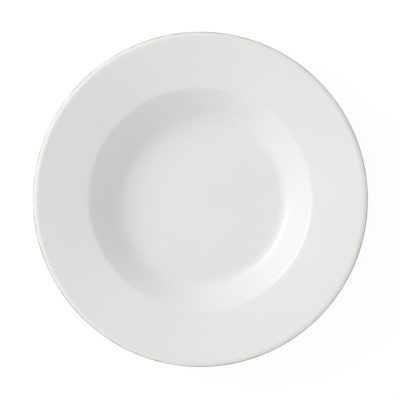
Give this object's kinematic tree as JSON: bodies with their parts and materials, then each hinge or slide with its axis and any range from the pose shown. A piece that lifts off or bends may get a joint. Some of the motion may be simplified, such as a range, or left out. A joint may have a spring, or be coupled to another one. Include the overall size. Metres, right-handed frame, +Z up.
{
  "type": "pasta plate",
  "caption": "Round white glazed porcelain pasta plate with a deep flat-floored well, a wide sloping rim, a rounded lip and a bare foot ring; holds a dish of food and stands on a table.",
  "frame": {"origin": "centre of the foot ring's standing face, on the table", "axes": "+Z up along the plate's axis of turning; X and Y lie in the table plane, and every direction round Z is alike"},
  "size_m": [0.3, 0.3, 0.0457],
  "materials": {
    "bare_porcelain": "matte",
    "glaze": "gloss"
  },
  "bodies": {
    "root": {"porcelain_body": "bare_porcelain", "main_glaze": "glaze", "recess_glaze": "glaze"}
  },
  "joints": []
}
